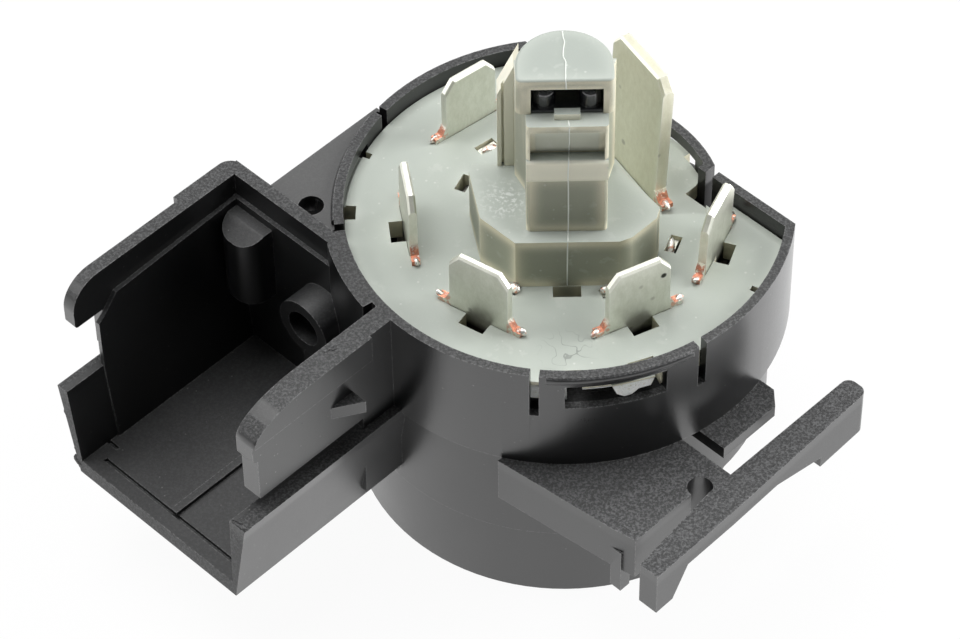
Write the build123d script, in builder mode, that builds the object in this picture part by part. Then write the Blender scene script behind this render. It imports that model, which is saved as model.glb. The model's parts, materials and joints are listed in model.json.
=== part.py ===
"""Electrical part of a car's ignition switch, standing on its spigot.

Millimetres, +Z up. The origin is on the axis of the round body, at the lower end of the spigot.
The cradle, the wing and the collar's flat stand at 45 degrees to the rest and have their own axes:
u runs from the axis towards the cradle, and v runs square to it, towards the wing.
"""

import os
from collections import namedtuple
from math import acos, cos, degrees, radians, sin, sqrt

from build123d import *

os.makedirs("parts", exist_ok=True)

# Clearances
running_clearance = 0.05  # journals, pivot and plungers, on the radius
plate_clearance = 0.1  # terminal plate in the collar
slot_clearance = 0.05  # blades in the plate
contact_gap = 0.05  # sliding contacts under their pads

# Round body
spigot_radius = 20.4
spigot_height = 20.0
land_height = 8.8  # lower end of the spigot, that plugs in
land_step = 0.25  # from the land out to the spigot above it
collar_radius = 21.4
rim_z = 32.1
rim_wall = 0.9
seat_z = 28.0  # ledge that the terminal plate rests on
chamber_wall = 1.6
skirt_wall = 2.1  # of the spigot below its floor
shelf_thickness = 1.5  # roof of the spigot outside the collar's flat

# Relief on the right of the spigot: the land stands back there, and the wall over it a little
relief_angles = (-66.0, 12.0)
relief_depth = 3.8
relief_upper_depth = 0.7
relief_wall = 1.1

# Flat on the collar, and the bulge of the snap tab in its middle
flat_u = -12.7
bulge_radius = 14.8
bulge_half_width = 6.9

# Snap tabs of the collar, by the angle of their middles
tab_angles = {"front": -77.4, "left": 166.0, "rear": 45.0}
window_angles = {"front": -78.7, "left": 166.0, "rear": 45.0}
tab_half_angle = 21.4
tab_slot_width = 0.85
tab_slot_depth = 5.4
rear_slot_v = 7.35
window_half_angle = 12.7
window_height = 2.9
window_drop = 0.1  # below the seat
lip_radius = 0.5
lip_half_angle = 18.5
shroud_angles = (-168.0, -146.0)  # where the collar is thicker, inside the cradle
shroud_thickness = 1.0

# Floor, hub and ribs inside the round body
floor_z = 3.0
floor_thickness = 2.0
hub_radius = 8.2
hub_heights = (1.0, 10.4)
skirt_rib_width = 1.2
skirt_rib_count = 6

# Cradle walls
cradle_back_u = 17.3
cradle_near_v = -1.35
cradle_far_v = -26.05
cradle_wall = 1.35
cradle_near_wall = 2.1
cradle_skin = 0.45  # second layer inside the far and back walls
skin_heights = (26.0, 26.7, 28.6, 29.5)  # front edge, its corner and the sloping top
skin_lengths = (36.7, 35.9, 34.3)
upper_z = 21.65  # lower edge of the upper walls, past the slot
slot_start_u = 25.3
near_end_u = 38.3
far_end_u = 35.8
near_arm_u = 38.8
far_arm_u = 39.1
near_arm_depth = 5.3
far_arm_depth = 5.1
arm_rounding = 0.4  # lower corner
band_start_u = 24.0  # raised band along the near wall's top
band_height = 3.1
band_proud = 0.3
nose_start_u = (31.6, 35.8)  # where the near and far arms' tops start to drop
far_band_u = 24.6  # end of the band outside the far wall's back half
far_band_proud = 0.6
cradle_corner = 1.5

# Cradle box below the rails
rail_end_u = 41.3
rail_z = 20.2
rail_near_v = -0.4
rail_far_v = -25.65
rail_near_wall = 2.0
rail_far_wall = 1.3
box_z = 9.1
box_near_v = -2.4
box_far_v = -23.8
box_floor_z = 10.9
box_floor_v = (-23.4, -2.7)

# Cradle fittings
cradle_boss_v = -12.5
cradle_boss_z = 22.7
cradle_boss_radius = 3.1
cradle_boss_bore = 1.9
cradle_boss_length = 4.8
cradle_boss_floor = 0.6
cradle_boss_web = 1.2
cradle_post_v = (-24.2, -19.4)
cradle_post_heights = (19.8, 28.6)
cradle_post_depth = 3.1
cradle_post_rounding = 2.1
cradle_post_slope = 1.0
nub_u = (26.4, 29.2)
nub_heights = (24.9, 26.4)
nub_reach = 1.7
floor_groove_u = 39.6
floor_groove_v = -22.0
floor_groove = 0.4
floor_rib = (0.8, 0.45)  # width and height, in line with the boss
floor_slot = (37.9, 0.4, 1.3)  # place, width and length, beside the far wall

# Ear web between the collar and the cradle
ear_v = -21.8
ear_u = 2.9
ear_top_z = 31.3
ear_thickness = 2.0
ear_skirt = 1.2
ear_hole_u = 16.0
ear_hole_v = -17.2
ear_hole_radius = 1.2

# Wing and its bar, with tops level with the spigot's shoulder
wing_thickness = 5.3
wing_near_edge = ((19.4, 10.1), (17.95, 22.9), (17.5, 25.5))
wing_far_u = 5.9
slit_end_u = 8.9
slit_end_radius = 1.2
slit_width = 1.0
bar_width = 3.1
bar_lower_u = 19.2
bar_upper_u = -10.3
bar_lower_taper = (1.1, 0.1)  # offsets of the two edges at that end from a straight bar
bar_upper_taper = (0.1, -0.6)
bar_corner = 0.9
bar_thickness = 5.2
bar_web = 2.0
bar_arch = (-3.8, 2.6, 15.0, 17.0)
bar_step = 1.3  # upright part of the arch's upper end
foot_v = (22.9, 24.2)
foot_width = 1.2
foot_z = 11.9
tab_u = (-4.4, 4.05)
tab_v = 24.05
tab_thickness = 1.4
tab_corner = 1.4

# Terminal plate
plate_thickness = 2.2
tab_relief_v = (6.0, 9.6)
tab_relief_u = -10.1
edge_notches = ((156.0, 1.0, 0.7), (177.5, 2.5, 1.0), (-29.0, 0.9, 1.2))  # angle, half angle, depth
lug_half_angle = 11.0
lug_reach = 0.75
lug_height = 2.0
break_half_angle = 12.2  # where the front lug tore out of the plate's edge
break_radius = 18.85
lump_angle = -74.8
lump_radius = 20.75
lump_outline = (
    (-1.8, 29.9), (-1.3, 28.6), (-0.6, 28.05), (0.1, 28.1), (0.75, 28.7), (1.9, 28.8), (2.3, 29.9),
)  # distance round the edge and height
sliver_angles = (-87.0, -74.0)
sliver_z = 29.6
front_hole = (2.6, 1.3)
front_hole_y = -9.4
foot_hole = (2.6, 1.4)
step_x = (9.05, 13.2)
step_depth = 0.4

# Boss and post, moulded with the plate
boss_height = 5.9
boss_corners = (
    (-4.7, -8.7), (4.75, -8.7), (5.9, -8.2), (8.2, -5.9), (8.55, -4.6),
    (6.8, -2.1), (4.45, 0.9), (-8.5, 1.3), (-8.8, 0.3), (-7.85, -5.5),
)
post_front_y = -7.3
post_half_width = 3.67
post_rounding = 0.4
post_flare_y = (-2.1, -0.15)
post_back_y = 1.1
post_back_half_width = 4.6
post_shelf_z = 49.65
ledge_heights = (42.7, 45.4)
ledge_proud = 0.25
ledge_rounding = 0.4
ledge_front_y = post_front_y - ledge_proud
scoop_heights = (ledge_heights[1], 48.9)
scoop_depths = (0.7, 1.0)  # halfway and at the ledge
scoop_margin = 0.35
head_front_y = -5.7
head_crown_y = 0.75
head_x = (-4.6, 4.2)
head_side_y = head_crown_y - (head_x[1] - head_x[0]) / 2
head_rounding = 0.6
head_edge = 0.3
head_top_z = 53.8
window_half_width = 3.22
window_roof_z = 52.7
window_depth = 4.2
tee_width = 2.3
tee_height = 0.7
tee_thickness = 0.8
fin_x = (-6.15, -4.15)
fin_y = (0.95, 2.9)
fin_top = (45.4, 50.0)
fin_groove_x = -5.65
fin_groove = (0.25, 0.5)  # width and depth

# Black insert behind the post's window
prong_x = (-2.0, 2.1)
prong_radius = 1.0
prong_height = 2.2
prong_y = -4.3
insert_y = (-5.6, -2.8)
insert_base = 0.35

# Blades and the contact pads under the plate
blade_height = 7.0
blade_corner = (1.0, 1.3)
blade_bevel = 0.2
pad_thickness = 0.8
ear_length = 1.3
ear_rise = 0.55
ear_wedge = 1.5
leg_thickness = 0.7
leg_slot = 1.1
Blade = namedtuple("Blade", "angle radius width thickness height twist lean pad legs")
blades = {
    "blade_front_left": Blade(
        -123.0, 14.9, 6.3, 0.8, blade_height, -0.8, 0.0, (-135, -111, 7, 15.6),
        ((-119.5, 10.15, 1.2, -0.2),)),
    "blade_front_right": Blade(
        -63.7, 14.6, 6.3, 0.8, blade_height, 0.6, 0.0, (-76, -52, 7, 15.6),
        ((-69, 10.1, 1.2, -0.2),)),
    "blade_left": Blade(
        186.0, 14.9, 6.3, 0.8, blade_height, 2.5, 0.0, (149, 201, 7, 15.6),
        ((154.6, 10.1, 2.0, -1.3),)),
    "blade_right": Blade(
        -18.9, 14.8, 6.3, 0.8, blade_height, -6.0, 2.0, (-32, -8, 7, 15.6),
        ((-20.6, 10.5, 2.0, -0.5),)),
    "blade_back_left": Blade(
        125.4, 15.5, 5.9, 0.8, blade_height, 2.1, 0.0, (112, 137, 7, 15.8),
        ((127.9, 11.4, 2.0, -0.1),)),
    "blade_wide": Blade(
        38.0, 9.3, 8.4, 1.2, 15.1, -7.5, 2.5, (19, 56, 6, 10.6), ()),
}

# Rotor
journal_radius = 6.0
washer_thickness = 0.4
flange_gap = 1.3  # to the spigot's wall
flange_top_z = 17.6
drum_radius = 11.2
drum_top_z = 26.0
pivot_radius = 2.5
pivot_height = 4.4
pivot_end_gap = 0.4
rotor_bottom_z = 1.6
drive_slot = (9.0, 3.3)
drive_slot_depth = 6.5
turn_range = 105.0

# Rotor's finger and the stops in the housing
finger_angle = -90.0
finger_half_angle = 4.5
finger_radii = (11.6, 15.0)
finger_gap = 1.6  # over the floor
stop_radii = (13.4, 15.8)
stop_half_angle = 4.0
stop_play = 0.5

# Contact bridges in the rotor, with their springs
bridge_angles = (-150.0, -30.0, 90.0)
bridge_radius = 8.4
bridge_length = 6.8
bridge_width = 3.2
bridge_thickness = 1.2
bridge_clearance = 0.1
contact_radius = 0.9
contact_height = 0.55
contact_offset = 2.3
pocket_z = 18.8
bridge_spring_radius = 1.1
bridge_spring_wire = 0.35
bridge_spring_turns = 5

# Detent plungers in the rotor's flange, with their springs
detent_angles = (15.0, 195.0)
detent_stops = (0.0, 35.0, 70.0, 105.0)  # off, accessory, on and start
detent_radius = 1.5
detent_length = 4.6
detent_travel = 0.5
detent_z = 14.2
detent_gap = 0.03
detent_notch_clearance = 0.1
detent_seat_radius = 8.6
detent_spring_radius = 1.0
detent_spring_wire = 0.3
detent_spring_turns = 5

# Return spring around the hub
return_wire_radius = 0.45
return_radius = 9.7
return_turns = 3
return_pitch = 1.12
return_leg = 7.6
return_floor_gap = 0.2  # the legs slope with the coil
return_contact_angle = 70.0  # where the rotor's finger meets the spring
anchor_wall = 1.2
anchor_wires = 2.5  # the pocket's height over the floor, in wire radii
anchor_length = 3.0
anchor_clearance = 0.05

# Heights and radii that follow from the sizes above
body_radius = spigot_radius + land_step
cavity_radius = spigot_radius - chamber_wall
skirt_radius = spigot_radius - skirt_wall
flange_radius = cavity_radius - flange_gap
relief_radius = spigot_radius - relief_depth
relief_inner = relief_radius - relief_wall
relief_margin = degrees(relief_wall / relief_radius)  # keeps the relief's end walls closed
relief_roof_z = land_height + relief_wall
plate_top_z = seat_z + plate_thickness
boss_top_z = plate_top_z + boss_height
pad_z = seat_z - pad_thickness
shelf_z = spigot_height - shelf_thickness
floor_top_z = floor_z + floor_thickness
bore_radius = journal_radius + running_clearance
washer_top_z = hub_heights[1] + washer_thickness
flange_z = washer_top_z + running_clearance
bridge_top_z = pad_z - contact_gap - contact_height
bridge_z = bridge_top_z - bridge_thickness
detent_tip = cavity_radius - detent_gap
cradle_skin_v = cradle_far_v + cradle_wall + cradle_skin
plate_radius = collar_radius - rim_wall - plate_clearance
return_z = floor_top_z + return_wire_radius + return_floor_gap
finger_edge = finger_angle + finger_half_angle + return_contact_angle
return_start_angle = finger_edge - degrees(acos((return_radius - return_wire_radius) / finger_radii[0]))


def uv_plane(z):
    """Level plane whose local x and y are u and v."""
    return Plane(origin=(0, 0, z), x_dir=(-1, -1, 0), z_dir=(0, 0, 1))


def across_u(u):
    """Upright plane at one u that faces along u; local x and y are v and z."""
    return Plane(origin=(-u / sqrt(2), -u / sqrt(2), 0), x_dir=(1, -1, 0), z_dir=(-1, -1, 0))


def across_v(v):
    """Upright plane at one v that faces against v; local x and y are u and z."""
    return Plane(origin=(v / sqrt(2), -v / sqrt(2), 0), x_dir=(-1, -1, 0), z_dir=(-1, 1, 0))


def front_plane(y):
    """Upright plane at one y that faces the front; local x and y are x and z."""
    return Plane(origin=(0, y, 0), x_dir=(1, 0, 0), z_dir=(0, -1, 0))


def polar(radius, angle):
    """Point at a polar place."""
    return (radius * cos(radians(angle)), radius * sin(radians(angle)))


def radial_plane(angle, z):
    """Upright plane through the axis; local x runs outwards and local y up."""
    return Plane(origin=(0, 0, z), x_dir=(*polar(1, angle), 0), z_dir=(*polar(1, angle - 90), 0))


def polar_plane(angle, radius, z):
    """Level plane at a polar place; local x runs outwards and local y round the axis."""
    return Plane(origin=(*polar(radius, angle), z), x_dir=(*polar(1, angle), 0), z_dir=(0, 0, 1))


def blade_plane(blade, lean):
    """Plane of a blade's outer face on the terminal plate; local x runs round the axis and local y up."""
    along = polar(1, blade.angle + 90 + blade.twist)
    out = polar(cos(radians(lean)), blade.angle + blade.twist)
    return Plane(origin=(*polar(blade.radius, blade.angle), plate_top_z), x_dir=(*along, 0),
                 z_dir=(*out, -sin(radians(lean))))


def sector(inner, outer, first, last):
    """Face between two radii and two angles."""
    middle = (first + last) / 2
    with BuildSketch() as face:
        with BuildLine():
            ThreePointArc(polar(outer, first), polar(outer, middle), polar(outer, last))
            Line(polar(outer, last), polar(inner, last))
            ThreePointArc(polar(inner, last), polar(inner, middle), polar(inner, first))
            Line(polar(inner, first), polar(outer, first))
        make_face()
    return face.sketch


def collar_outline(inset):
    """Plan of the collar in u and v, offset inwards, with its flat and the rear tab's bulge."""
    half = bulge_half_width - inset
    radius = bulge_radius - inset
    across = sqrt(radius**2 - half**2)
    with BuildSketch() as face:
        Circle(collar_radius - inset)
        with Locations((flat_u + inset, 0)):
            Rectangle(2 * collar_radius, 2 * collar_radius, align=(Align.MIN, Align.CENTER),
                      mode=Mode.INTERSECT)
        with BuildLine():
            bulge = ThreePointArc((-across, -half), (-radius, 0), (-across, half))
            Polyline(bulge @ 1, (0, half), (0, -half), bulge @ 0)
        make_face()
    return face.sketch


def arm_profile(end_u, arm_u, arm_depth):
    """Side of a cradle wall's upper part in u and z, with its slot below and its rounded arm."""
    with BuildSketch() as face:
        with BuildLine():
            Polyline(
                (cradle_back_u, box_floor_z), (slot_start_u, box_floor_z), (slot_start_u, upper_z),
                (end_u, upper_z), (end_u, rim_z - arm_depth), (arm_u, rim_z - arm_depth),
                (arm_u, rim_z), (cradle_back_u, rim_z), close=True,
            )
        make_face()
        fillet(face.vertices().group_by(Axis.X)[-1].sort_by(Axis.Y)[0], arm_rounding)
    return face.sketch


def arm_corner(start_u, arm_u):
    """Corner to take off the top of a cradle arm's end in u and z, along a quarter of an ellipse."""
    with BuildSketch() as face:
        with BuildLine():
            nose = EllipticalCenterArc((start_u, rim_z - band_height), arm_u - start_u, band_height,
                                       arc_size=90)
            Polyline(nose @ 1, (start_u, rim_z + band_height), (arm_u + band_height, rim_z + band_height),
                     (arm_u + band_height, rim_z - band_height), nose @ 0)
        make_face()
    return face.sketch


def skin_profile():
    """Side of the cradle's inner layer in u and z, with its sloping top."""
    with BuildSketch() as face:
        with BuildLine():
            Polyline(
                (cradle_back_u, box_floor_z), (skin_lengths[0], box_floor_z),
                (skin_lengths[0], skin_heights[0]), (skin_lengths[1], skin_heights[1]),
                (skin_lengths[2], skin_heights[2]), (cradle_back_u, skin_heights[3]), close=True,
            )
        make_face()
    return face.sketch


def coil(radius, wire_radius, turns, height):
    """Round wire wound about the Z axis from the level of the origin."""
    path = Helix(pitch=height / turns, height=height, radius=radius)
    with BuildPart() as wound:
        with BuildSketch(Plane(origin=path @ 0, z_dir=path % 0)):
            Circle(wire_radius)
        sweep(path=path)
    return wound.part


# Housing: one black moulding with the spigot, collar, cradle, ear, wing and bar
with BuildPart() as housing:
    with BuildSketch():
        Circle(spigot_radius)
    extrude(amount=land_height)
    with BuildSketch(Plane.XY.offset(land_height)):
        Circle(body_radius)
    extrude(amount=spigot_height - land_height)
    with BuildSketch(Plane.XY.offset(land_height)):
        add(sector(spigot_radius - relief_upper_depth, collar_radius, *relief_angles))
    extrude(amount=spigot_height - land_height, mode=Mode.SUBTRACT)
    with BuildSketch(uv_plane(spigot_height)):
        add(collar_outline(0))
    extrude(amount=rim_z - spigot_height)
    with BuildSketch(Plane.XY.offset(box_z)):
        add(sector(collar_radius - rim_wall, collar_radius + shroud_thickness, *shroud_angles))
    extrude(amount=rim_z - box_z)

    # Cradle box, with its leaning sides and open front
    with BuildSketch(across_u(cradle_back_u)):
        with BuildLine():
            Polyline((rail_near_v, rail_z), (rail_far_v, rail_z), (box_far_v, box_z), (box_near_v, box_z),
                     close=True)
        make_face()
        with BuildLine():
            Polyline((rail_near_v - rail_near_wall, rail_z), (rail_far_v + rail_far_wall, rail_z),
                     (box_floor_v[0], box_floor_z), (box_floor_v[1], box_floor_z), close=True)
        make_face(mode=Mode.SUBTRACT)
    extrude(amount=rail_end_u - cradle_back_u)

    # Cradle's upper walls, the bands outside them and the far one's inner layer
    with BuildSketch(across_v(cradle_near_v)):
        add(arm_profile(near_end_u, near_arm_u, near_arm_depth))
    extrude(amount=cradle_near_wall)
    with BuildSketch(across_v(cradle_near_v + band_proud)):
        with Locations((band_start_u, rim_z)):
            Rectangle(near_arm_u - band_start_u, band_height, align=(Align.MIN, Align.MAX))
    extrude(amount=band_proud + cradle_wall)
    with BuildSketch(across_v(cradle_near_v + band_proud)):
        add(arm_corner(nose_start_u[0], near_arm_u))
    extrude(amount=band_proud + cradle_near_wall, mode=Mode.SUBTRACT)
    with BuildSketch(across_v(cradle_far_v + cradle_wall)):
        add(arm_profile(far_end_u, far_arm_u, far_arm_depth))
    extrude(amount=cradle_wall)
    with BuildSketch(across_v(cradle_far_v + cradle_wall)):
        with Locations((cradle_back_u, rim_z)):
            Rectangle(far_band_u - cradle_back_u, band_height, align=(Align.MIN, Align.MAX))
    extrude(amount=cradle_wall + far_band_proud)
    with BuildSketch(across_v(cradle_far_v + cradle_wall)):
        add(arm_corner(nose_start_u[1], far_arm_u))
    extrude(amount=cradle_wall, mode=Mode.SUBTRACT)
    band_z = rim_z - band_height
    corners = ((cradle_far_v, box_floor_z, band_z), (cradle_far_v - far_band_proud, band_z, rim_z))
    for corner_v, bottom_z, top_z in corners:
        with BuildSketch(uv_plane(bottom_z)):
            with Locations((cradle_back_u, corner_v)):
                Rectangle(cradle_corner, cradle_corner, align=Align.MIN)
            with Locations((cradle_back_u + cradle_corner, corner_v + cradle_corner)):
                Circle(cradle_corner, mode=Mode.SUBTRACT)
        extrude(amount=top_z - bottom_z, mode=Mode.SUBTRACT)
    with BuildSketch(across_v(cradle_skin_v)):
        add(skin_profile())
    extrude(amount=cradle_skin)
    with BuildSketch(across_u(cradle_back_u)):
        with BuildLine():
            Polyline((rail_far_v, rail_z), (cradle_skin_v, rail_z),
                     (box_floor_v[0] + cradle_skin / 2, box_floor_z), (box_far_v, box_floor_z), close=True)
        make_face()
    extrude(amount=skin_lengths[0] - cradle_back_u)

    # Cradle's back wall, with the same two layers
    for thickness, top_z in ((cradle_wall, rim_z), (cradle_wall + cradle_skin, skin_heights[3])):
        with BuildSketch(uv_plane(box_floor_z)):
            with Locations((cradle_back_u, (cradle_near_v + cradle_far_v) / 2)):
                Rectangle(thickness, cradle_near_v - cradle_far_v - cradle_skin,
                          align=(Align.MIN, Align.CENTER))
        extrude(amount=top_z - box_floor_z)

    # Ear web with its skirt
    ear_parts = ((-ear_v - spigot_radius / 2, ear_thickness), (ear_skirt, ear_top_z - spigot_height))
    for wall, thickness in ear_parts:
        with BuildSketch(uv_plane(ear_top_z - thickness)):
            with Locations((ear_u, ear_v)):
                Rectangle(cradle_back_u + cradle_wall / 2 - ear_u, wall, align=Align.MIN)
        extrude(amount=thickness)

    # Wing, its bar and the neck between them
    wing_end_v = wing_near_edge[-1][1]
    bar_v = wing_end_v + slit_width
    with BuildSketch(uv_plane(spigot_height - wing_thickness)):
        with BuildLine():
            Polyline((spigot_radius / 2, wing_near_edge[0][1]), *wing_near_edge, (wing_far_u, wing_end_v),
                     (wing_far_u, spigot_radius / 2), close=True)
        make_face()
        with Locations((wing_far_u, wing_end_v - slit_width)):
            Rectangle(slit_end_u - wing_far_u, 3 * slit_width, align=Align.MIN)
        with Locations((slit_end_u, wing_end_v)):
            Circle(slit_end_radius, mode=Mode.SUBTRACT)
    extrude(amount=wing_thickness)
    with BuildSketch(uv_plane(spigot_height - bar_thickness)):
        with BuildLine():
            Polyline(
                (bar_upper_u, bar_v + bar_upper_taper[0]), (slit_end_u, bar_v),
                (bar_lower_u, bar_v + bar_lower_taper[0]),
                (bar_lower_u, bar_v + bar_width + bar_lower_taper[1]), (slit_end_u, bar_v + bar_width),
                (bar_upper_u, bar_v + bar_width + bar_upper_taper[1]), close=True,
            )
        make_face()
        fillet(vertices().group_by(Axis.X)[0], bar_corner)
    extrude(amount=bar_thickness)
    bar_bottom_z = spigot_height - bar_thickness
    with BuildSketch(across_v(bar_v + 2 * bar_width)):
        with BuildLine():
            Polyline((bar_arch[0], bar_bottom_z - bar_step), (bar_arch[0], bar_bottom_z + bar_step),
                     (bar_arch[1], spigot_height - bar_web), (bar_arch[2], spigot_height - bar_web),
                     (bar_arch[3], bar_bottom_z), (bar_arch[3], bar_bottom_z - bar_step), close=True)
        make_face()
    extrude(amount=2 * bar_width, mode=Mode.SUBTRACT)

    # Foot under the wing's near corner
    with BuildSketch(uv_plane(foot_z)):
        with Locations((wing_near_edge[1][0], foot_v[0])):
            Rectangle(foot_width, foot_v[1] - foot_v[0], align=(Align.MAX, Align.MIN))
    extrude(amount=spigot_height - foot_z - wing_thickness / 2)

    # Small tab beside the wing
    with BuildSketch(uv_plane(spigot_height - tab_thickness)):
        with Locations((tab_u[0], spigot_radius / 2)):
            Rectangle(tab_u[1] - tab_u[0], tab_v - spigot_radius / 2, align=Align.MIN)
        chamfer(vertices().group_by(Axis.Y)[-1].sort_by(Axis.X)[0], tab_corner)
    extrude(amount=tab_thickness)

    # Cradle's post, boss and the web between the boss and the floor
    post_length = cradle_wall / 2 + cradle_skin + cradle_post_depth
    post_u = cradle_back_u + cradle_wall / 2 + post_length
    with BuildSketch(uv_plane(cradle_post_heights[0])):
        with Locations((post_u, sum(cradle_post_v) / 2)):
            Rectangle(post_length, cradle_post_v[1] - cradle_post_v[0], align=(Align.MAX, Align.CENTER))
        fillet(vertices().group_by(Axis.X)[-1], cradle_post_rounding)
    extrude(amount=cradle_post_heights[1] - cradle_post_heights[0])
    with BuildSketch(across_v(cradle_post_v[1])):
        with BuildLine():
            Polyline((post_u, cradle_post_heights[1] - cradle_post_slope), (post_u, cradle_post_heights[1]),
                     (post_u - 2 * cradle_post_slope, cradle_post_heights[1]), close=True)
        make_face()
    extrude(amount=cradle_post_v[1] - cradle_post_v[0], mode=Mode.SUBTRACT)
    with BuildSketch(across_u(cradle_back_u)):
        with Locations((cradle_boss_v, cradle_boss_z)):
            Circle(cradle_boss_radius)
    extrude(amount=cradle_boss_length)
    with BuildSketch(across_u(cradle_back_u)):
        with Locations((cradle_boss_v, cradle_boss_z)):
            Rectangle(cradle_boss_web, cradle_boss_z - box_floor_z, align=(Align.CENTER, Align.MAX))
    extrude(amount=cradle_boss_length - cradle_skin)
    with BuildSketch(across_u(cradle_back_u)):
        with Locations((cradle_boss_v, box_floor_z)):
            Rectangle(floor_rib[0], 2 * floor_rib[1])
    extrude(amount=floor_groove_u - cradle_back_u)

    # Snap nub outside the near wall, a barb that widens towards the collar
    with BuildSketch(uv_plane(nub_heights[0])):
        with BuildLine():
            Polyline((nub_u[0], cradle_near_v - cradle_wall / 2), (nub_u[0], cradle_near_v + nub_reach),
                     (nub_u[1], cradle_near_v), (nub_u[1], cradle_near_v - cradle_wall / 2), close=True)
        make_face()
    extrude(amount=nub_heights[1] - nub_heights[0])

    # Rounded lip on the front and left tabs
    for name in ("front", "left"):
        start = tab_angles[name] - lip_half_angle
        with BuildSketch(radial_plane(start, rim_z - lip_radius)):
            with Locations((collar_radius - lip_radius / 2, 0)):
                Circle(lip_radius)
        revolve(axis=Axis.Z, revolution_arc=2 * lip_half_angle)

    # Cavity: the plate's seat, the well under it and the spigot's chamber
    with BuildSketch(uv_plane(seat_z)):
        add(collar_outline(rim_wall))
    extrude(amount=rim_z - seat_z, mode=Mode.SUBTRACT)
    with BuildSketch(uv_plane(floor_top_z)):
        Circle(cavity_radius)
        with Locations((flat_u + rim_wall, 0)):
            Rectangle(2 * collar_radius, 2 * collar_radius, align=(Align.MIN, Align.CENTER),
                      mode=Mode.INTERSECT)
    extrude(amount=seat_z - floor_top_z, mode=Mode.SUBTRACT)
    with BuildSketch(Plane.XY.offset(relief_roof_z)):
        Circle(cavity_radius)
    extrude(amount=shelf_z - relief_roof_z, mode=Mode.SUBTRACT)
    relief_ends = (relief_angles[0] - relief_margin, relief_angles[1] + relief_margin)
    for radius, bottom_z, top_z in ((cavity_radius, floor_top_z, relief_roof_z), (skirt_radius, 0, floor_z)):
        with BuildSketch(Plane.XY.offset(bottom_z)):
            Circle(radius)
            add(sector(relief_inner, spigot_radius, *relief_ends), mode=Mode.SUBTRACT)
        extrude(amount=top_z - bottom_z, mode=Mode.SUBTRACT)

    # Hub with its ribs below the floor, and the rotor's bore
    with BuildSketch(Plane.XY.offset(hub_heights[0])):
        Circle(hub_radius)
    extrude(amount=hub_heights[1] - hub_heights[0])
    with BuildSketch(Plane.XY.offset(hub_heights[0])):
        with PolarLocations(hub_radius - floor_thickness, skirt_rib_count):
            Rectangle(skirt_radius - hub_radius + floor_thickness + skirt_wall / 2, skirt_rib_width,
                      align=(Align.MIN, Align.CENTER))
    extrude(amount=floor_z - hub_heights[0])
    with BuildSketch():
        add(sector(relief_radius, collar_radius, *relief_angles))
    extrude(amount=land_height, mode=Mode.SUBTRACT)
    with BuildSketch():
        Circle(bore_radius)
    extrude(amount=hub_heights[1], mode=Mode.SUBTRACT)

    # Notches for the plungers, down the wall of the chamber
    notch_z = detent_z - 2 * detent_radius
    with BuildSketch(Plane.XY.offset(notch_z)):
        for start in detent_angles:
            for stop in detent_stops:
                with Locations(polar(detent_tip - detent_radius + detent_travel, start + stop)):
                    Circle(detent_radius + detent_notch_clearance)
        Circle(cavity_radius - detent_travel, mode=Mode.SUBTRACT)
    extrude(amount=shelf_z - notch_z, mode=Mode.SUBTRACT)

    # Stops for the rotor's finger, and the anchor of the return spring
    finger_reach = finger_half_angle + stop_half_angle + stop_play
    for angle in (finger_angle - finger_reach, finger_angle + turn_range + finger_reach):
        with BuildSketch(Plane.XY.offset(floor_top_z - floor_thickness / 2)):
            add(sector(*stop_radii, angle - stop_half_angle, angle + stop_half_angle))
        extrude(amount=hub_heights[1] - floor_top_z + floor_thickness / 2)

    with BuildSketch(polar_plane(return_start_angle, return_radius, floor_top_z - floor_thickness / 2)):
        with Locations((return_wire_radius + anchor_clearance, -return_leg)):
            Rectangle(anchor_wall, anchor_length, align=Align.MIN)
    extrude(amount=floor_thickness / 2 + anchor_wires * return_wire_radius)

    # Slots beside each tab, and the tabs' windows
    for name in ("front", "left"):
        for side in (-1, 1):
            with BuildSketch(polar_plane(tab_angles[name] + side * tab_half_angle, cavity_radius + rim_wall,
                                         rim_z - tab_slot_depth)):
                Rectangle(collar_radius - cavity_radius - rim_wall + land_step, tab_slot_width,
                          align=(Align.MIN, Align.CENTER))
            extrude(amount=tab_slot_depth, mode=Mode.SUBTRACT)
    for side in (-1, 1):
        with BuildSketch(uv_plane(rim_z - tab_slot_depth)):
            with Locations((flat_u + 2 * rim_wall, side * rear_slot_v)):
                Rectangle(4 * rim_wall, tab_slot_width, align=(Align.MAX, Align.CENTER))
        extrude(amount=tab_slot_depth, mode=Mode.SUBTRACT)
    for name, angle in window_angles.items():
        inner = (bulge_radius if name == "rear" else collar_radius) - 2 * rim_wall
        half = window_half_angle * (collar_radius / bulge_radius if name == "rear" else 1)
        with BuildSketch(Plane.XY.offset(seat_z - window_drop)):
            add(sector(inner, inner + 4 * rim_wall, angle - half, angle + half))
        extrude(amount=window_height, mode=Mode.SUBTRACT)

    # Ear's hole, the boss's bore and the lines on the cradle's floor
    with BuildSketch(uv_plane(ear_top_z - ear_thickness)):
        with Locations((ear_hole_u, ear_hole_v)):
            Circle(ear_hole_radius)
    extrude(amount=ear_thickness, mode=Mode.SUBTRACT)
    with BuildSketch(across_u(cradle_back_u + cradle_boss_floor)):
        with Locations((cradle_boss_v, cradle_boss_z)):
            Circle(cradle_boss_bore)
    extrude(amount=cradle_boss_length - cradle_boss_floor, mode=Mode.SUBTRACT)
    with BuildSketch(uv_plane(box_floor_z - floor_groove)):
        with Locations((floor_groove_u, floor_groove_v)):
            Rectangle(floor_groove, box_floor_v[1] - floor_groove_v, align=(Align.CENTER, Align.MIN))
        with Locations((floor_slot[0], box_floor_v[0])):
            Rectangle(floor_slot[1], floor_slot[2], align=(Align.CENTER, Align.MIN))
    extrude(amount=floor_groove, mode=Mode.SUBTRACT)
housing.part.label = "housing"
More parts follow.
